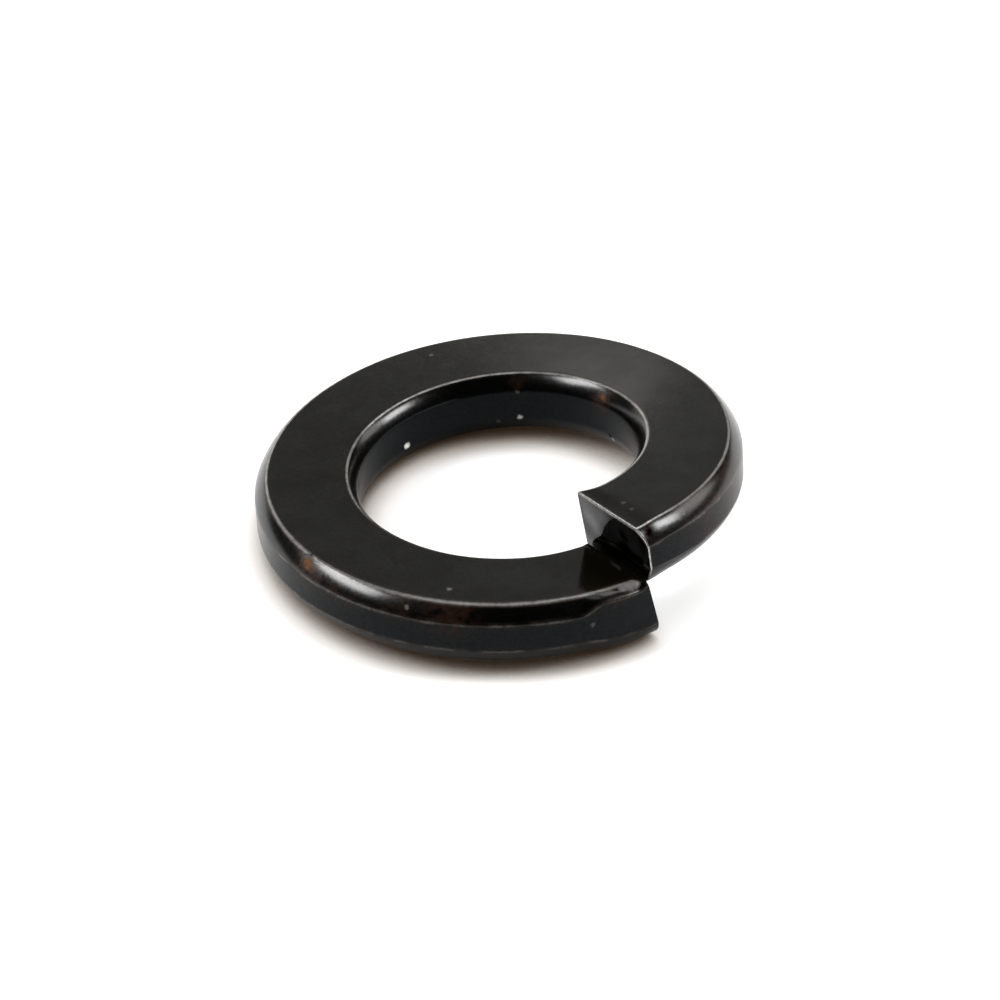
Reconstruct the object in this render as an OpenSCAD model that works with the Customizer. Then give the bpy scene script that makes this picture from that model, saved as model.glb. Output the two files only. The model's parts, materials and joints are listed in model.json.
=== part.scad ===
// Spring lock washer with square ends: one left-hand turn of flat steel wire.
// Millimetres. The bore axis is +Z, the lowest point of the low end is at Z 0 and the gap faces -Y.

/* [Ring] */
// Outside diameter
outer_d = 14.6; // [13.6:0.1:15.6]
// Bore diameter
bore_d = 8.4; // [8:0.1:9]
// Thickness of the wire
thickness = 1.95; // [1.6:0.05:2.4]
// Height that the coil climbs in its one turn
rise = 1.8; // [0.6:0.05:2.6]

/* [Gap] */
// Width of the gap along the coil
gap_w = 0.24; // [0.1:0.02:1.2]
// Lean of the two end faces from the bore axis
cut_lean = 11.5; // [0:0.5:25]

/* [Outer edges] */
// Width of the rounding on the flat
outer_inset = 0.38; // [0.26:0.02:0.5]
// Height of the rounding on the outer wall
outer_drop = 0.52; // [0.26:0.02:0.6]
// Height of the top rounding where it runs out at the low end
tip_drop = 0.22; // [0.2:0.02:0.6]
// Turn before the low end at which the top rounding starts to shrink
tip_turn = 18; // [6:1:40]

/* [Inner edges] */
// Width of the rounding on the flat
inner_inset = 0.3; // [0.22:0.02:0.4]
// Height of the rounding on the bore wall
inner_drop = 0.46; // [0.26:0.02:0.6]
// Crown of every rounding over a straight bevel
edge_crown = 0.04; // [0:0.01:0.05]

/* [Hidden] */
outer_r = outer_d / 2;
bore_r = bore_d / 2;
// facets along the coil and in each rounding
rings = 96;
steps = 4;
// shares of a rounding where its last facet starts and where it ends, beyond the wall
near_wall = 0.95;
past_wall = 1.08;
// share of tip_turn over which the top rounding shrinks
tip_share = 0.4;
// how far the round cutters run past the coil
spare = 1;
// height where both end faces meet the line across the gap
cut_z = (thickness + rise) / 2;
steel = [0.16, 0.16, 0.155];

// Height of the underside at a turn angle, counted from the high end
function under_z(a) = rise * (1 - a / 360);

// Smooth step from 0 to 1
function ease(x) = let(u = min(max(x, 0), 1)) u * u * (3 - 2 * u);

// Height of the top outer rounding at a turn angle
function top_drop(a) =
    outer_drop + (tip_drop - outer_drop) * ease((a - 360 + tip_turn) / (tip_share * tip_turn));

// Rounding from p on the flat to q on the wall; its last facet passes a hair through the wall
function rounding(p, q, side) =
    let(v = q - p, n = side * [-v[1], v[0]] / norm(v))
    [for (u = concat([for (i = [0:steps - 1]) i / steps], [near_wall, past_wall]))
        p + v * u + n * 4 * edge_crown * u * (1 - u)];

function reversed(l) = [for (i = [len(l) - 1:-1:0]) l[i]];

// Wire section as radius and height, round from the top of the bore side
function section(a) =
    let(t = thickness,
        top_in = rounding([bore_r + inner_inset, t], [bore_r, t - inner_drop], -1),
        top_out = rounding([outer_r - outer_inset, t], [outer_r, t - top_drop(a)], 1),
        low_out = rounding([outer_r - outer_inset, 0], [outer_r, outer_drop], -1),
        low_in = rounding([bore_r + inner_inset, 0], [bore_r, inner_drop], 1))
    concat(reversed(top_in), top_out, reversed(low_out), low_in);

// Turn angle at which a section point meets its end face, found by a few passes
function end_turn(p, half, start, passes = 5, b = 0) =
    passes == 0 ? start + b :
    end_turn(p, half, start, passes - 1,
        asin((half - (under_z(start + b) + p[1] - cut_z) * tan(cut_lean)) / p[0]));

function ring_points(k) =
    let(high = section(0), low = section(360), here = section(360 * k / rings))
    [for (j = [0:len(here) - 1])
        let(a0 = end_turn(high[j], gap_w / 2, 0), a1 = end_turn(low[j], -gap_w / 2, 360),
            a = a0 + (a1 - a0) * k / rings, p = here[j])
        [p[0] * cos(a - 90), p[0] * sin(a - 90), p[1] + under_z(a)]];

// Flat wire wound into one turn, both ends cut on the leaning faces
module coil() {
    m = len(section(0));
    sides = [for (k = [0:rings - 1], j = [0:m - 1], h = [0, 1])
        let(a = k * m + j, b = k * m + (j + 1) % m, c = a + m, d = b + m)
        h == 0 ? [a, b, d] : [a, d, c]];
    polyhedron(
        points = [for (k = [0:rings]) each ring_points(k)],
        faces = concat([[for (j = [m - 1:-1:0]) j]], sides, [[for (j = [0:m - 1]) rings * m + j]]),
        convexity = 6);
}

// The coil brought to its true round bore and outer wall
module washer() {
    lift = -under_z(end_turn([bore_r + inner_inset, 0], -gap_w / 2, 360));
    color(steel)
    translate([0, 0, lift])
    difference() {
        intersection() {
            coil();
            translate([0, 0, -spare]) cylinder(r = outer_r, h = rise + thickness + 2 * spare, $fn = 180);
        }
        translate([0, 0, -2 * spare]) cylinder(r = bore_r, h = rise + thickness + 4 * spare, $fn = 120);
    }
}

washer();
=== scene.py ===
"""Spring lock washer: one left-hand turn of blackened steel wire, lying on a pale table.

Lengths are in metres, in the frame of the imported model, unless a comment says mm.
"""
import json
import math

import bpy
from mathutils import Matrix, Quaternion, Vector, noise


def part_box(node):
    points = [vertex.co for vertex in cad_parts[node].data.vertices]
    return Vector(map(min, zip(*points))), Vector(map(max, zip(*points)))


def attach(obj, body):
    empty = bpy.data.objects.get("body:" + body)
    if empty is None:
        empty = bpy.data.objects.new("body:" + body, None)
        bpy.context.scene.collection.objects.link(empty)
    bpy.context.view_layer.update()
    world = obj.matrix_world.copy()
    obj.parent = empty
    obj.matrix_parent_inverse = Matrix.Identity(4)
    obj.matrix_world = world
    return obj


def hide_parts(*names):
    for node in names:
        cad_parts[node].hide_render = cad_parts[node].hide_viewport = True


MM = 0.001

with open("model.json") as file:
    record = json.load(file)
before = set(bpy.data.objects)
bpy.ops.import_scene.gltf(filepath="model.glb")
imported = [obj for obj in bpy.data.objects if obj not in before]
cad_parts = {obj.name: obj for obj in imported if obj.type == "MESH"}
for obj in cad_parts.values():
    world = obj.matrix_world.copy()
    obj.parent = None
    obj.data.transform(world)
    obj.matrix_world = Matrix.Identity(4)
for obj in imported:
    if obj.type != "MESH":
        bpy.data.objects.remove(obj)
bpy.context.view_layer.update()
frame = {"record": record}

# Ring sizes, read from the frame where it gives them
low_corner, high_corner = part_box("washer")
OUTER_R = (high_corner.x - low_corner.x) / 2
BORE_R = frame["record"]["mounts"][0]["dims"]["r_mm"] * MM
THICK = 1.95 * MM
RISE = 1.8 * MM

# The gap: each face's distance from its middle and its own lean
GAP_AZIMUTH = math.radians(-90)
HIGH_OFFSET = 0.010 * MM
HIGH_LEAN = math.radians(8.0)
LOW_OFFSET = -0.135 * MM
LOW_LEAN = math.radians(12.0)

# How much less the high face leans beyond its outer crest
HIGH_TWIST = math.radians(3.0)

# Passes that find where a point of the section meets its end face
END_PASSES = 6

# The rounded rim of an end face: its size, the shares of its depth that get a ring of points,
# and the way to the next ring
END_ROUND = 0.022 * MM
END_ROUND_SHARES = 0, 0.12, 0.4, 1
END_MARGIN = 0.03 * MM

# The sheared end faces are uneven: by how much, over what length, and the noise's seed
FACE_UNEVEN = 0.08 * MM
FACE_GRAIN = 0.9 * MM
FACE_SEED = 10.36

# Roundings of the wire: width on the flat, height on the wall, crown over a straight bevel
OUTER_INSET = 0.38 * MM
OUTER_DROP = 0.54 * MM
INNER_INSET = 0.30 * MM
INNER_DROP = 0.50 * MM
CROWN = 0.04 * MM

# The crease at both ends of a rounding, and the way to the next point on the flat or the wall
CREASE = 0.06 * MM
CREASE_MARGIN = 0.03 * MM

# Crown and crease are at most these shares of a rounding's length
MOST_CROWN = 0.1
MOST_CREASE = 0.3

# The ends are squeezed: lower roundings near the low tip, full corners at both cuts
TIP_DROP = 0.21 * MM
TIP_LOW_DROP = 0.43 * MM
TIP_TURN = math.radians(18.5)
TIP_REACH = math.radians(7.5)
HIGH_CUT_REACH = 0.30 * MM
LOW_CUT_REACH = 0.15 * MM
HIGH_DIP = 0.09 * MM
LOW_BURR = 0.08 * MM
TIP_RAISE = 0.03 * MM

# Shares that the squeeze takes: of the inner roundings at the high cut, of the top outer one's
# width and height at the low cut, and of the lower outer one's width at the tip
HIGH_CUT_TAKES = 0.8
LOW_CUT_TAKES_WIDTH = 0.7
LOW_CUT_TAKES_HEIGHT = 0.3
TIP_TAKES_WIDTH = 0.3

# The edges waver round the ring: size, frequency and seed
DROP_WAVER = 0.020 * MM, 6.0, 1.3
INNER_WAVER = 0.010 * MM, 2.5, 3.1
OUTER_WAVER = 0.012 * MM, 3.0, 8.7

# Reach of the wear beside a crease, and its strength on a crest
CREST_WEAR = 0.048 * MM
SEAM_WEAR = 0.050 * MM
CUT_WEAR = 0.040 * MM
CREST_SHARE = 0.6

# The wear round the high cut is whole from this height of the section up
CUT_WEAR_FROM = 0.5 * MM

# The last third of the turn is worn wider but duller, most of all on its inner crest
DULL_FROM = math.radians(235)
DULL_OVER = math.radians(45)
WIDER = 0.8
DULL_INNER = 0.6
DULL_OUTER = 0.25

# Mesh density. The steps on a wall are odd, so that it has a middle point
RINGS = 780
CREASE_STEPS = 4
ROUND_STEPS = 6
FLAT_STEPS = 10
WALL_STEPS = 5
FACE_STEPS = 16

# Marks on the wire: turn angle in degrees, radius, height and size in mm, then strength
RUST_SPOTS = (
    (269.6, 7.12, 1.77, 0.26, 0.50),
    (271.2, 7.11, 1.77, 0.34, 1.0),
    (273.2, 7.15, 1.73, 0.32, 0.65),
    (275.4, 7.19, 1.66, 0.30, 0.40),
    (92.4, 4.24, 1.71, 0.22, 0.50),
    (94.2, 4.24, 1.71, 0.28, 1.0),
    (96.2, 4.23, 1.70, 0.22, 0.60),
    (134.0, 4.20, 1.60, 0.16, 0.2),
)
# Brown stains; the wide patch at 30 degrees on the right outer wall is no stain but a painted reflection
# that lightens and warms the wall
BROWN_PATCHES = (
    (272.0, 7.14, 1.73, 1.1, 1.0),
    (283.0, 7.22, 1.60, 0.9, 0.7),
    (299.0, 7.16, 1.70, 0.8, 0.5),
    (311.0, 7.12, 1.74, 1.2, 1.0),
    (350.0, 7.16, 1.80, 0.7, 0.5),
    (0.9, 7.13, 1.73, 0.4, 0.8),
    # The right outer wall: a painted reflection of the table
    (30.0, 7.30, 1.20, 3.0, 1.0),
    (94.0, 4.22, 1.62, 0.7, 1.0),
    (134.0, 4.21, 1.62, 0.5, 0.6),
)
PALE_SPECKS = (
    (184.9, 4.20, 0.58, 0.15, 1.0),
    (133.9, 4.20, 0.53, 0.12, 0.6),
    (143.3, 4.20, 0.41, 0.10, 0.06),
    (134.5, 4.20, 1.43, 0.10, 0.06),
    (88.1, 4.20, 0.34, 0.12, 0.4),
    (300.9, 7.15, 1.70, 0.10, 0.09),
    (344.0, 7.30, 1.11, 0.12, 0.07),
    (309.5, 6.27, 1.95, 0.12, 0.09),
    (161.4, 6.31, 1.95, 0.10, 0.06),
    (3.4, 5.68, 1.95, 0.10, 0.04),
    (2.9, 6.09, 1.95, 0.10, 0.03),
)
PITS = (
    (89.3, 4.20, 0.48, 0.12, 1.0),
    (0.8, 7.13, 1.73, 0.42, 1.0),
    (358.4, 7.10, 1.94, 0.26, 0.9),
)
RUBBED = (
    (353.2, 7.04, 1.91, 0.24, 0.30),
    (354.6, 7.05, 1.91, 0.26, 0.45),
    (356.0, 7.07, 1.91, 0.22, 0.40),
)

# A mark has its full strength within this share of its size, and its rim is ragged by so many mm
MARK_CORE = 0.2
RAGGED_BY = 0.08

# Noises of the finish: scale per mm, detail and roughness
DRIFT = 0.45, 3.0, 0.5
MOTTLE = 1.1, 5.0, 0.6
STREAKS = 1.5, 3.0, 0.5
PATCHES = 3.2, 4.0, 0.6
GRAIN = 11.0, 5.0, 0.65
RAGGED = 5.0, 3.0, 0.5

# Spans over which a form's mask rises from 0 to 1: of the normal's Z, and of the radius in mm
FLAT_SPAN = 0.85, 0.97
RAISED_SPAN = 0.10, 0.30
OUTER_HALF_SPAN = 5.4, 6.0

# Ramps of wear and stains over a noise or a mask: start, end, and the values there if not 0 and 1
CREST_RAMP = 0.05, 0.9
CREST_ON_PATCHES = 0.30, 0.62, 0.5, 1.0
WEAR_ON_GRAIN = 0.3, 0.6, 0.6, 1.0
SEAM_ON_STREAKS = 0.38, 0.62, 0.03, 0.14
BROWN_ON_PATCHES = 0.35, 0.6
RUST_ON_GRAIN = 0.35, 0.60, 0.55, 1.0
STEEL_RAMP = 0.02, 0.14
RUST_RAMP = 0.30, 0.95

# Colours of the finish: the black coat on each form, then what lies on it or shows through.
# The coat's black differs by form as painted light: bluish on the walls and lower roundings, a painted
# reflection of the table; lighter and warmer on the flats, a painted sheen; near black on the upper
# roundings and cut faces, painted shade
WALL_BLACK = 0.0002, 0.0010, 0.0016
EDGE_BLACK = 0.0002, 0.0002, 0.0001
FLAT_BLACK = 0.0020, 0.0018, 0.0008
# Brown of the stains, and of the painted reflection on the right outer wall
BROWN_STAIN_AND_REFLECTION = 0.011, 0.0048, 0.0028
FAINT_STEEL = 0.30, 0.23, 0.18
BARE_STEEL = 0.42, 0.405, 0.385
DARK_RUST = 0.020, 0.008, 0.004
LIGHT_RUST = 0.105, 0.047, 0.018
SPECK_WHITE = 0.78, 0.77, 0.74

# Roughness of each form, its ramp over the grain, and what a stain adds
EDGE_ROUGH = 0.21
FLAT_ROUGH = 0.12
CUT_ROUGH = 0.08
ROUGH_ON_GRAIN = 0.3, 0.7, -0.02, 0.03
STAIN_ROUGH = 0.3

# Specular level of each form, and its ramps over the noises
BORE_SHINE = 0.065
WALL_SHINE = 0.085
EDGE_SHINE = 0.31
FLAT_ON_DRIFT = 0.3, 0.7, 0.165, 0.195
FLAT_ON_MOTTLE = 0.35, 0.65, 0.9, 1.15
SHINE_ON_GRAIN = 0.3, 0.7, 0.8, 1.2

# A cut face shines only in its upper inner corner, by the radius less this share of the height
CORNER_TILT = 0.5
CUT_ON_CORNER = 3.4, 4.05, 0.33, 0.04

# Relief of the coat: the patches' share beside the grain, then its strength and depth
PATCH_RELIEF = 0.6
RELIEF_STRENGTH = 0.05
RELIEF_DEPTH = 0.004 * MM

# The photograph's camera: angles from the gap and from level
CAMERA_AZIMUTH = GAP_AZIMUTH + math.radians(-35.5)
CAMERA_ELEVATION = math.radians(32.1)
CAMERA_ROLL = math.radians(-3.66)
CAMERA_DISTANCE = 142.2 * MM
AIM_NEARER = 0.73 * MM
AIM_Z = 1.78 * MM

# Focal length and film width in mm, nearest and farthest depth seen in m
CAMERA_LENS = 172.1
FILM_WIDTH = 36
CLIP_START = 0.01
CLIP_END = 5

# The table, as the washer comes to rest on it
TABLE_TILT = math.radians(5.1)
TABLE_TILT_FROM_GAP = math.radians(-25.7)
TABLE_Z = 0.355 * MM
TABLE_HALF = 0.9

# The washer's shade on the table: its reach, and its ramps over how open a place is
SHADE_REACH = 1.45 * MM
SHADE_SAMPLES = 8
PAPER_RAMP = 0.20, 0.75
DUSK_RAMP = 0.18, 0.68
OPEN_RAMP = 0.56, 0.91

# Colours of the table's paper and of its glow, from the deepest shade to the open
SHADED_PAPER = 0.030, 0.018, 0.010
OPEN_PAPER = 0.62, 0.62, 0.62
DEEP_GLOW = 0.018, 0.010, 0.005
DUSK_GLOW = 0.26, 0.22, 0.18
OPEN_GLOW = 0.50, 0.50, 0.50

# Colours of the lamps
WHITE = 1, 1, 1
WARM = 1, 0.96, 0.92
CREAM = 1, 0.96, 0.90

# Lamps: turn from the camera and elevation in degrees, distance, width and height in m,
# radiance, roll in degrees and colour
LAMPS = (
    ("left_lamp", -82, 38, 0.25, 0.13, 0.076, 26, 0, WHITE),
    ("left_fill", -112, 50, 0.28, 0.12, 0.060, 9, 0, WHITE),
    ("right_lamp", 79, 30, 0.25, 0.10, 0.058, 30, -27, WHITE),
    ("right_glow", 106, 25, 0.25, 0.09, 0.090, 5, 0, WARM),
    ("right_fill", 130, 60, 0.28, 0.12, 0.100, 5, 0, WHITE),
    ("top_lamp", 0, 88, 0.30, 0.17, 0.170, 1.9, 0, WHITE),
    ("back_card", -155, 18, 0.30, 0.27, 0.140, 1.05, 0, CREAM),
    ("back_wall", 180, 33, 0.34, 0.50, 0.200, 0.52, 0, WHITE),
)
ROOM_LIGHT = 0.015


def smooth(x):
    """Smooth step from 0 to 1."""
    x = min(max(x, 0.0), 1.0)
    return x * x * (3 - 2 * x)


def near(distance, reach):
    """1 at no distance, fading to 0 beyond the reach."""
    return math.exp(-(distance / reach) ** 2)


def waver(turn, size, frequency, seed):
    """Smooth noise round the ring, the same on each run."""
    place = Vector((math.cos(turn) * frequency, math.sin(turn) * frequency, seed))
    return size * noise.noise(place)


# The wire's form

def under_z(turn):
    """Height of the underside over its low end, at a turn angle counted from the high end."""
    return RISE * (1 - turn / math.tau)


def high_lean(r):
    """The high face leans less beyond its crest."""
    return HIGH_LEAN - HIGH_TWIST * smooth((r - OUTER_R + OUTER_INSET) / OUTER_INSET)


def end_turn(r, z, offset, lean, start):
    """Turn angle at which a point of the section meets a leaning end face."""
    middle = (THICK + RISE) / 2
    turn = 0.0
    for _ in range(END_PASSES):
        height = under_z(start + turn) + z - middle
        turn = math.asin((offset - height * math.tan(lean)) / r)
    return start + turn


def high_turn(depth):
    """Gives a section point's turn angle at a depth behind the high end face."""
    return lambda r, z: end_turn(r, z, HIGH_OFFSET + depth, high_lean(r), 0.0)


def low_turn(depth):
    """Gives a section point's turn angle at a depth behind the low end face."""
    return lambda r, z: end_turn(r, z, LOW_OFFSET - depth, LOW_LEAN, math.tau)


def part_way(first, last, share):
    """Gives a section point's turn angle part of the way from one ring to another."""
    return lambda r, z: first(r, z) + (last(r, z) - first(r, z)) * share


# Height in the frame of the level that the wire's heights are counted from
LIFT = low_corner.z - under_z(low_turn(0)(BORE_R + INNER_INSET, 0))


def on_wire(turn, r, z):
    """Place of a section point in the frame."""
    azimuth = GAP_AZIMUTH + turn
    return Vector((r * math.cos(azimuth), r * math.sin(azimuth), z + under_z(turn) + LIFT))


def between(a, b, share):
    """Point between two points of the section."""
    return a[0] + (b[0] - a[0]) * share, a[1] + (b[1] - a[1]) * share


def bend(a, corner, b):
    """Points from a to b that round off the corner between them."""
    shares = [i / CREASE_STEPS for i in range(CREASE_STEPS + 1)]
    return [between(between(a, corner, u), between(corner, b, u), u) for u in shares]


def straight(a, b, steps):
    """Points between a and b, without the ends."""
    return [between(a, b, i / (steps + 1)) for i in range(1, steps + 1)]


def rounding(flat, wall):
    """From the flat to the wall: a crowned bevel with a small crease radius at both ends."""
    dx, dz = wall[0] - flat[0], wall[1] - flat[1]
    length = math.hypot(dx, dz)
    side, down = math.copysign(1, dx), math.copysign(1, dz)
    crown = min(CROWN, MOST_CROWN * length)
    crease = min(CREASE, MOST_CREASE * length)

    def crowned(u):
        bump = 4 * crown * u * (1 - u) / length
        return flat[0] + dx * u + side * abs(dz) * bump, flat[1] + dz * u - down * abs(dx) * bump

    share = crease / length
    on_flat, on_wall = (flat[0] - side * crease, flat[1]), (wall[0], wall[1] + down * crease)
    first = on_flat[0] - side * CREASE_MARGIN, flat[1]
    last = wall[0], on_wall[1] + down * CREASE_MARGIN
    upper = bend(on_flat, flat, crowned(share))
    middle = [crowned(share + (1 - 2 * share) * i / ROUND_STEPS) for i in range(1, ROUND_STEPS)]
    lower = bend(crowned(1 - share), wall, on_wall)
    return [first, *upper, *middle, *lower, last]


def edge_points(turn, tip, high_cut, low_cut):
    """Where each rounding meets the flat and the wall: top in, top out, low out, low in."""
    drop = OUTER_DROP + (TIP_DROP - OUTER_DROP) * tip + waver(turn, *DROP_WAVER)
    low_drop = OUTER_DROP + (TIP_LOW_DROP - OUTER_DROP) * tip
    inner = BORE_R + INNER_INSET * (1 - HIGH_CUT_TAKES * high_cut) + waver(turn, *INNER_WAVER)
    inner_drop = INNER_DROP * (1 - HIGH_CUT_TAKES * high_cut)
    outer = OUTER_R - OUTER_INSET * (1 - LOW_CUT_TAKES_WIDTH * low_cut) + waver(turn, *OUTER_WAVER)
    low_outer = OUTER_R - OUTER_INSET * (1 - TIP_TAKES_WIDTH * tip)
    top = THICK - HIGH_DIP * high_cut + TIP_RAISE * low_cut
    bottom = -LOW_BURR * high_cut
    return (
        ((inner, top), (BORE_R, top - inner_drop)),
        ((outer, top), (OUTER_R, top - drop * (1 - LOW_CUT_TAKES_HEIGHT * low_cut))),
        ((low_outer, bottom), (OUTER_R, low_drop)),
        ((inner, bottom), (BORE_R, inner_drop)),
    )


def whole_outline(top_in, top_out, low_out, low_in):
    """The section's outline from its four roundings, clockwise from the top of the bore wall."""
    return [
        *top_in[::-1], *straight(top_in[0], top_out[0], FLAT_STEPS),
        *top_out, *straight(top_out[-1], low_out[-1], WALL_STEPS),
        *low_out[::-1], *straight(low_out[0], low_in[0], FLAT_STEPS),
        *low_in, *straight(low_in[-1], top_in[-1], WALL_STEPS),
    ]


class Section:
    """The wire's outline at one turn angle, and where it is worn."""

    def __init__(self, turn):
        tip = smooth((turn - math.tau + TIP_TURN) / TIP_REACH)
        high_cut = near(turn * BORE_R, HIGH_CUT_REACH)
        low_cut = near((math.tau - turn) * OUTER_R, LOW_CUT_REACH)
        edges = edge_points(turn, tip, high_cut, low_cut)
        self.outline = whole_outline(*(rounding(flat, wall) for flat, wall in edges))
        dull = smooth((turn - DULL_FROM) / DULL_OVER)
        self.crest_wear = CREST_WEAR * (1 + WIDER * dull)
        # The lower inner crest isn't worn
        shares = 1 - DULL_INNER * dull, (1 - DULL_OUTER * dull) * (1 - low_cut), 1.0
        self.crests = [(flat, CREST_SHARE * share) for (flat, wall), share in zip(edges, shares)]
        # Only the outer roundings have seams
        self.seams = [wall for flat, wall in edges[1:3]]

    def inset(self, amount):
        """The outline moved inwards."""
        out = []
        for i, (r, z) in enumerate(self.outline):
            ahead, behind = self.outline[(i + 1) % len(self.outline)], self.outline[i - 1]
            tr, tz = ahead[0] - behind[0], ahead[1] - behind[1]
            length = math.hypot(tr, tz)
            out.append((r + tz / length * amount, z - tr / length * amount))
        return out

    def crest_at(self, point):
        """Wear of the crests at a point of the outline."""
        return max(near(math.dist(point, at), self.crest_wear) * share for at, share in self.crests)

    def seam_at(self, point):
        """Wear of the seams at a point of the outline."""
        return near(min(math.dist(point, seam) for seam in self.seams), SEAM_WEAR)


class WireMesh:
    """Collects the vertices of the washer with the masks that its finish reads."""

    MASKS = ("crest", "seam", "cut")

    def __init__(self):
        self.places, self.faces = [], []
        self.masks = {name: [] for name in self.MASKS}

    def vertex(self, place, crest=0.0, seam=0.0, cut=0.0):
        """Adds a vertex with its masks and returns its number."""
        self.places.append(place)
        for name, value in zip(self.MASKS, (crest, seam, cut)):
            self.masks[name].append(value)
        return len(self.places) - 1

    def ring(self, turn, turn_of, from_end, amount=0.0):
        """One outline of the wire, moved inwards by amount. turn_of gives each point's own angle."""
        section = Section(turn)
        end_wear = near(from_end, CUT_WEAR) if turn < math.pi else 0.0
        ring = []
        for plain, (r, z) in zip(section.outline, section.inset(amount)):
            crest = max(section.crest_at(plain), end_wear * smooth(z / CUT_WEAR_FROM))
            ring.append(self.vertex(on_wire(turn_of(r, z), r, z), crest, section.seam_at(plain)))
        return ring

    def join(self, a, b):
        """Faces between two rings."""
        self.faces += zip(a, a[1:] + a[:1], b[1:] + b[:1], b)

    def face_column(self, top, low, across):
        """Vertices down an end face, which is even only at its rim."""
        column = [top]
        for i in range(1, FACE_STEPS):
            place = self.places[top].lerp(self.places[low], i / FACE_STEPS)
            fade = math.sin(math.pi * i / FACE_STEPS) * math.sin(math.pi * across)
            place.x += FACE_UNEVEN * fade * noise.noise(place / FACE_GRAIN + Vector((0, 0, FACE_SEED)))
            column.append(self.vertex(place, cut=1.0))
        return [*column, low]

    def cap(self, ring, outward):
        """Closes an end: columns from its top edge to its bottom edge, a fan at each wall's middle."""
        start = len(ring) - WALL_STEPS // 2
        ring = ring[start:] + ring[:start]
        count = len(ring) // 2 - 1
        tops, outer_pole = ring[:count], ring[count]
        lows, inner_pole = ring[-2:count:-1], ring[-1]
        across = [(i + 0.5) / count for i in range(count)]
        columns = [self.face_column(*ends) for ends in zip(tops, lows, across)]
        made = []
        for left, right in zip(columns, columns[1:]):
            made += [(left[i], right[i], right[i + 1], left[i + 1]) for i in range(FACE_STEPS)]
        made += [(inner_pole, columns[0][i], columns[0][i + 1]) for i in range(FACE_STEPS)]
        made += [(columns[-1][i], outer_pole, columns[-1][i + 1]) for i in range(FACE_STEPS)]
        self.faces += made if outward else [face[::-1] for face in made]

    def build(self, name):
        """The scene's object, with each mask as an attribute of its mesh."""
        mesh = bpy.data.meshes.new(name)
        mesh.from_pydata(self.places, [], self.faces)
        for mask, values in self.masks.items():
            mesh.attributes.new(mask, "FLOAT", "POINT").data.foreach_set("value", values)
        mesh.shade_smooth()
        mesh.update()
        piece = bpy.data.objects.new(name, mesh)
        bpy.context.scene.collection.objects.link(piece)
        return piece


def wire_washer():
    """The whole washer: rings from the high end face to the low one, closed at both."""
    wire = WireMesh()
    rim = [(END_ROUND * u, END_ROUND * (1 - math.sqrt(1 - (1 - u) ** 2))) for u in END_ROUND_SHARES]
    rings = [wire.ring(0.0, high_turn(depth), depth, amount) for depth, amount in rim]
    start = END_ROUND + END_MARGIN
    first, last = high_turn(start), low_turn(start)
    for k in range(RINGS + 1):
        share = k / RINGS
        from_end = start + min(share, 1 - share) * math.tau * OUTER_R
        rings.append(wire.ring(math.tau * share, part_way(first, last, share), from_end))
    rings += [wire.ring(math.tau, low_turn(depth), depth, amount) for depth, amount in rim[::-1]]
    for a, b in zip(rings, rings[1:]):
        wire.join(a, b)
    wire.cap(rings[0], outward=False)
    wire.cap(rings[-1], outward=True)
    return wire.build("lock_washer")


# Finish

class Graph:
    """Short calls for a material's nodes."""

    def __init__(self, material):
        material.use_nodes = True
        self.nodes = material.node_tree.nodes
        self.links = material.node_tree.links
        self.nodes.clear()

    def node(self, kind, inputs=None, **settings):
        """Makes a node. inputs gives a value or a link for its sockets, by name or number."""
        made = self.nodes.new(kind)
        for name, value in settings.items():
            setattr(made, name, value)
        for key, value in (inputs or {}).items():
            self.feed(made.inputs[key], value)
        return made

    def feed(self, socket, value):
        """Links a socket to another, or sets its value. A colour is three numbers."""
        if isinstance(value, bpy.types.NodeSocket):
            self.links.new(value, socket)
        elif socket.type == "RGBA":
            socket.default_value = (*value, 1.0)
        else:
            socket.default_value = value

    def math(self, operation, a, b=0.0, clamp=False):
        return self.node("ShaderNodeMath", {0: a, 1: b}, operation=operation, use_clamp=clamp).outputs[0]

    def product(self, first, *others):
        """All the numbers multiplied."""
        for other in others:
            first = self.math("MULTIPLY", first, other)
        return first

    def largest(self, first, *others):
        """The largest of the numbers."""
        for other in others:
            first = self.math("MAXIMUM", first, other)
        return first

    def vector(self, operation, a, b):
        return self.node("ShaderNodeVectorMath", {0: a, 1: b}, operation=operation)

    def scaled(self, a, factor):
        inputs = {0: a, "Scale": factor}
        return self.node("ShaderNodeVectorMath", inputs, operation="SCALE").outputs["Vector"]

    def upward(self, a):
        """The Z component of a vector."""
        return self.node("ShaderNodeSeparateXYZ", {0: a}).outputs["Z"]

    def ramp(self, value, low, high, to_low=0.0, to_high=1.0):
        """Smooth step from to_low to to_high, as the value goes from low to high."""
        inputs = {"Value": value, "From Min": low, "From Max": high, "To Min": to_low, "To Max": to_high}
        return self.node("ShaderNodeMapRange", inputs, interpolation_type="SMOOTHSTEP").outputs["Result"]

    def mix(self, factor, a, b):
        """Mixes two colours. A mix node keeps its colours in its sockets 6 and 7."""
        return self.node("ShaderNodeMix", {0: factor, 6: a, 7: b}, data_type="RGBA").outputs[2]

    def blend(self, factor, a, b):
        """Mixes two numbers."""
        return self.node("ShaderNodeMix", {0: factor, 2: a, 3: b}, data_type="FLOAT").outputs[0]

    def mask(self, name):
        return self.node("ShaderNodeAttribute", attribute_name=name).outputs["Fac"]

    def noise(self, place, scale, detail, roughness, output="Fac"):
        inputs = {"Vector": place, "Scale": scale, "Detail": detail, "Roughness": roughness}
        return self.node("ShaderNodeTexNoise", inputs).outputs[output]


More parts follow.
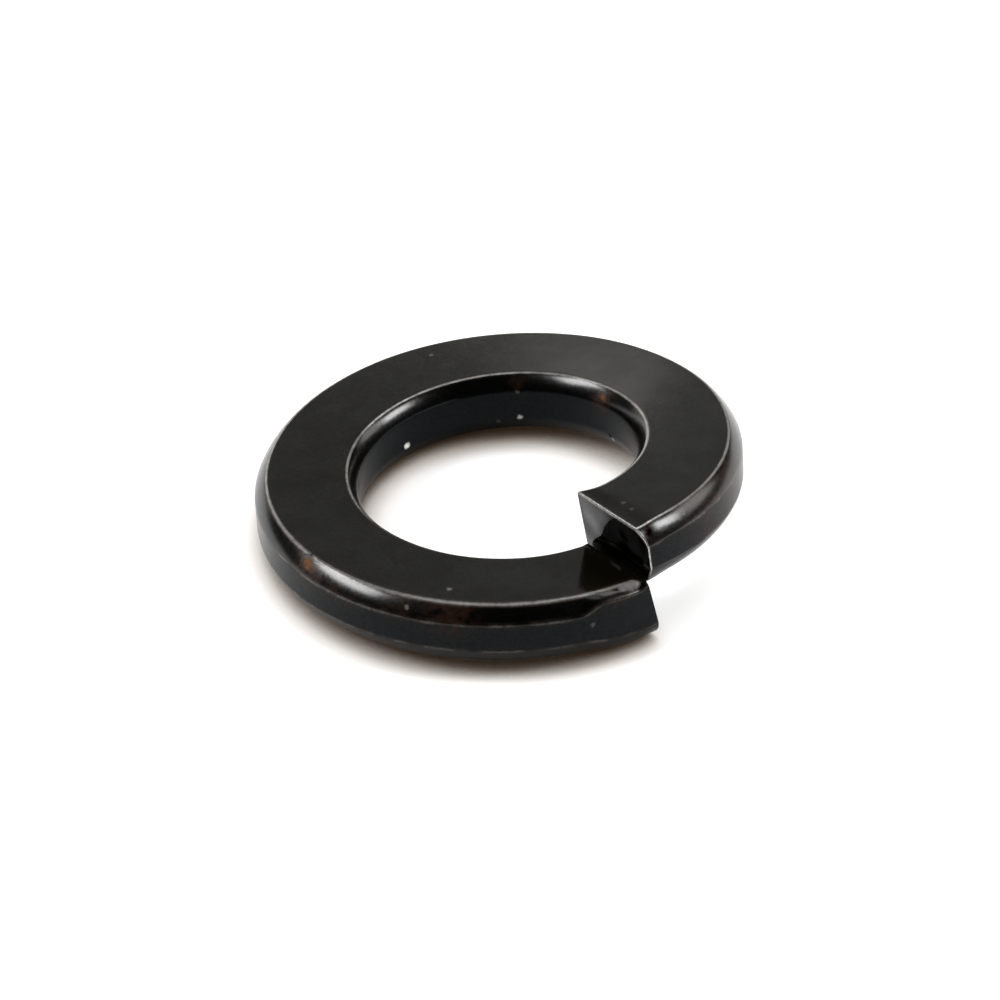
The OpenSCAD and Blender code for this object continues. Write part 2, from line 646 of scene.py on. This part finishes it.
def spots(g, place, marks):
    """Mask of round marks, each fading from its core to its rim."""
    mask = 0.0
    for turn, r, z, size, strength in marks:
        centre = on_wire(math.radians(turn), r * MM, z * MM) / MM
        apart = g.vector("DISTANCE", place, centre).outputs["Value"]
        mask = g.largest(mask, g.ramp(apart, MARK_CORE * size, size, strength, 0.0))
    return mask


class SteelFinish:
    """Black oxide over steel, worn bright on its crests, with rust, stains, specks and pits. Its black
    also changes with the way a surface faces, as painted light, and one brown patch on the right outer
    wall is a painted reflection.
    """

    def __init__(self, g):
        self.g = g
        coords = g.node("ShaderNodeTexCoord")
        self.place = g.scaled(coords.outputs["Object"], 1 / MM)
        noises = DRIFT, MOTTLE, STREAKS, PATCHES, GRAIN
        self.drift, self.mottle, self.streaks, self.patches, self.grain = (
            g.noise(self.place, *pattern) for pattern in noises
        )
        self.find_forms(coords.outputs["Normal"])
        self.find_wear_and_marks()

    def find_forms(self, normal):
        """Masks of the flats, of the slopes that face up, and of the ring's outer half."""
        g = self.g
        self.flat = g.ramp(g.math("ABSOLUTE", g.upward(normal)), *FLAT_SPAN)
        self.raised = g.ramp(g.upward(normal), *RAISED_SPAN)
        level = g.vector("MULTIPLY", self.place, (1, 1, 0)).outputs["Vector"]
        radius = g.vector("DISTANCE", level, (0, 0, 0)).outputs["Value"]
        self.outer_half = g.ramp(radius, *OUTER_HALF_SPAN)
        self.from_corner = g.math("SUBTRACT", radius, g.product(g.upward(self.place), CORNER_TILT))
        self.cut = g.mask("cut")

    def ragged_place(self):
        """The place, pushed about a little, which gives the marks their ragged rims."""
        g = self.g
        push = g.scaled(g.noise(self.place, *RAGGED, output="Color"), 2 * RAGGED_BY)
        moved = g.vector("ADD", self.place, push).outputs["Vector"]
        return g.vector("SUBTRACT", moved, (RAGGED_BY, RAGGED_BY, RAGGED_BY)).outputs["Vector"]

    def find_wear_and_marks(self):
        """Masks of the wear and the marks. Steel is bare where it's worn and nothing lies on it."""
        g = self.g
        marks = RUST_SPOTS, BROWN_PATCHES, PALE_SPECKS, PITS, RUBBED
        place = self.ragged_place()
        rust, brown, self.specks, self.pits, rubbed = (spots(g, place, some) for some in marks)
        grainy = g.ramp(self.grain, *WEAR_ON_GRAIN)
        crests = g.product(g.ramp(g.mask("crest"), *CREST_RAMP), g.ramp(self.patches, *CREST_ON_PATCHES))
        seams = g.product(g.mask("seam"), g.ramp(self.streaks, *SEAM_ON_STREAKS))
        self.wear = g.largest(g.product(crests, grainy), g.product(seams, grainy), rubbed)
        self.stain = g.largest(rust, self.specks)
        self.bare = g.math("SUBTRACT", self.wear, self.stain, clamp=True)
        off_flat = g.math("SUBTRACT", brown, self.flat, clamp=True)
        self.brown = g.product(off_flat, g.ramp(self.patches, *BROWN_ON_PATCHES))
        self.rust = g.product(rust, g.ramp(self.grain, *RUST_ON_GRAIN))

    def colour(self):
        g = self.g
        # The black is chosen by the way the surface faces: painted light over the coat's real black
        black = g.mix(g.largest(self.raised, self.cut), WALL_BLACK, EDGE_BLACK)
        black = g.mix(self.flat, black, FLAT_BLACK)
        # Brown stains, and on the right outer wall a painted reflection of the table
        black = g.mix(self.brown, black, BROWN_STAIN_AND_REFLECTION)
        steel = g.mix(g.ramp(self.wear, *STEEL_RAMP), FAINT_STEEL, BARE_STEEL)
        rust = g.mix(g.ramp(self.rust, *RUST_RAMP), DARK_RUST, LIGHT_RUST)
        colour = g.mix(self.rust, g.mix(self.bare, black, steel), rust)
        return g.mix(self.specks, colour, SPECK_WHITE)

    def roughness(self):
        g = self.g
        roughness = g.blend(self.cut, g.blend(self.flat, EDGE_ROUGH, FLAT_ROUGH), CUT_ROUGH)
        roughness = g.math("ADD", roughness, g.ramp(self.grain, *ROUGH_ON_GRAIN))
        return g.math("ADD", roughness, g.product(self.stain, STAIN_ROUGH))

    def shine(self):
        """Specular level: high on the roundings, low on the walls, none in pits and rust."""
        g = self.g
        shine = g.blend(self.raised, g.blend(self.outer_half, BORE_SHINE, WALL_SHINE), EDGE_SHINE)
        on_flat = g.product(g.ramp(self.drift, *FLAT_ON_DRIFT), g.ramp(self.mottle, *FLAT_ON_MOTTLE))
        shine = g.blend(self.flat, shine, on_flat)
        shine = g.blend(self.cut, shine, g.ramp(self.from_corner, *CUT_ON_CORNER))
        clean = g.math("SUBTRACT", 1.0, g.largest(self.pits, self.rust))
        return g.product(shine, clean, g.ramp(self.grain, *SHINE_ON_GRAIN))

    def relief(self):
        g = self.g
        height = g.math("ADD", self.grain, g.product(self.patches, PATCH_RELIEF))
        inputs = {"Height": height, "Strength": RELIEF_STRENGTH, "Distance": RELIEF_DEPTH}
        return g.node("ShaderNodeBump", inputs).outputs["Normal"]


def blackened_steel():
    """The washer's material."""
    material = bpy.data.materials.new("blackened_steel")
    g = Graph(material)
    finish = SteelFinish(g)
    shader = g.node("ShaderNodeBsdfPrincipled", {
        "Base Color": finish.colour(),
        "Metallic": finish.bare,
        "Roughness": finish.roughness(),
        "Specular IOR Level": finish.shine(),
        "Normal": finish.relief(),
    })
    g.node("ShaderNodeOutputMaterial", {"Surface": shader.outputs[0]})
    return material


# Table, lamps and camera

def direction(azimuth, elevation):
    """Unit vector that points this way from the origin."""
    return Vector((
        math.cos(azimuth) * math.cos(elevation),
        math.sin(azimuth) * math.cos(elevation),
        math.sin(elevation),
    ))


def pale_table():
    """Paper that looks white in the open and keeps the washer's shadow."""
    material = bpy.data.materials.new("pale_table")
    g = Graph(material)
    shade = g.node("ShaderNodeAmbientOcclusion", {"Distance": SHADE_REACH}, samples=SHADE_SAMPLES)
    openness = shade.outputs["AO"]
    paper = g.mix(g.ramp(openness, *PAPER_RAMP), SHADED_PAPER, OPEN_PAPER)
    paper = g.node("ShaderNodeBsdfDiffuse", {"Color": paper}).outputs[0]
    dusk = g.mix(g.ramp(openness, *DUSK_RAMP), DEEP_GLOW, DUSK_GLOW)
    glow = g.mix(g.ramp(openness, *OPEN_RAMP), dusk, OPEN_GLOW)
    glow = g.node("ShaderNodeEmission", {"Color": glow}).outputs[0]
    rays = g.node("ShaderNodeLightPath").outputs
    shown = g.largest(rays["Is Camera Ray"], rays["Is Glossy Ray"], rays["Is Transmission Ray"])
    lit = g.node("ShaderNodeAddShader", {0: paper, 1: glow}).outputs[0]
    surface = g.node("ShaderNodeMixShader", {0: shown, 1: paper, 2: lit}).outputs[0]
    g.node("ShaderNodeOutputMaterial", {"Surface": surface})
    return material


def table_top():
    """A wide flat table under the washer, tilted as the washer rests on it."""
    upright = direction(GAP_AZIMUTH + TABLE_TILT_FROM_GAP, math.radians(90) - TABLE_TILT)
    turn = upright.to_track_quat("Z", "Y").to_matrix().to_4x4()
    corners = [(x * TABLE_HALF, y * TABLE_HALF, 0) for x, y in ((-1, -1), (1, -1), (1, 1), (-1, 1))]
    mesh = bpy.data.meshes.new("table_top")
    mesh.from_pydata(corners, [], [(0, 1, 2, 3)])
    mesh.materials.append(pale_table())
    table = bpy.data.objects.new("table_top", mesh)
    table.matrix_world = Matrix.Translation((0, 0, TABLE_Z)) @ turn
    bpy.context.scene.collection.objects.link(table)


def panel(name, from_camera, elevation, distance, width, height, radiance, roll, colour):
    """A soft rectangular lamp aimed at the washer."""
    lamp = bpy.data.lights.new(name, "AREA")
    lamp.shape = "RECTANGLE"
    lamp.size, lamp.size_y = width, height
    lamp.energy = radiance * math.pi * width * height
    lamp.color = colour
    towards = direction(CAMERA_AZIMUTH + math.radians(from_camera), math.radians(elevation))
    made = bpy.data.objects.new(name, lamp)
    made.location = towards * distance
    turn = towards.to_track_quat("Z", "Y") @ Quaternion((0, 0, 1), math.radians(roll))
    made.rotation_euler = turn.to_euler()
    bpy.context.scene.collection.objects.link(made)


def studio():
    """All lamps, and a dim even light from the room."""
    for lamp in LAMPS:
        panel(*lamp)
    world = bpy.data.worlds.new("dim_room")
    world.use_nodes = True
    background = world.node_tree.nodes["Background"]
    background.inputs["Color"].default_value = (*WHITE, 1)
    background.inputs["Strength"].default_value = ROOM_LIGHT
    bpy.context.scene.world = world


def photo_camera():
    """The photograph's camera, rolled as the photograph is."""
    lens = bpy.data.cameras.new("photo_camera")
    lens.lens = CAMERA_LENS
    lens.sensor_width = FILM_WIDTH
    lens.clip_start, lens.clip_end = CLIP_START, CLIP_END
    back = direction(CAMERA_AZIMUTH, CAMERA_ELEVATION)
    level_right = Vector((0, 0, 1)).cross(back).normalized()
    level_up = back.cross(level_right)
    right = level_right * math.cos(CAMERA_ROLL) + level_up * math.sin(CAMERA_ROLL)
    up = level_up * math.cos(CAMERA_ROLL) - level_right * math.sin(CAMERA_ROLL)
    aim = direction(CAMERA_AZIMUTH, 0) * AIM_NEARER + Vector((0, 0, AIM_Z))
    camera = bpy.data.objects.new("photo_camera", lens)
    turn = Matrix((right, up, back)).transposed().to_4x4()
    camera.matrix_world = Matrix.Translation(aim + back * CAMERA_DISTANCE) @ turn
    bpy.context.scene.collection.objects.link(camera)
    bpy.context.scene.camera = camera


photo_camera()
studio()
table_top()
bpy.context.scene.view_settings.view_transform = "Standard"

washer = wire_washer()
washer.data.materials.append(blackened_steel())
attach(washer, "root")
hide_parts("washer")
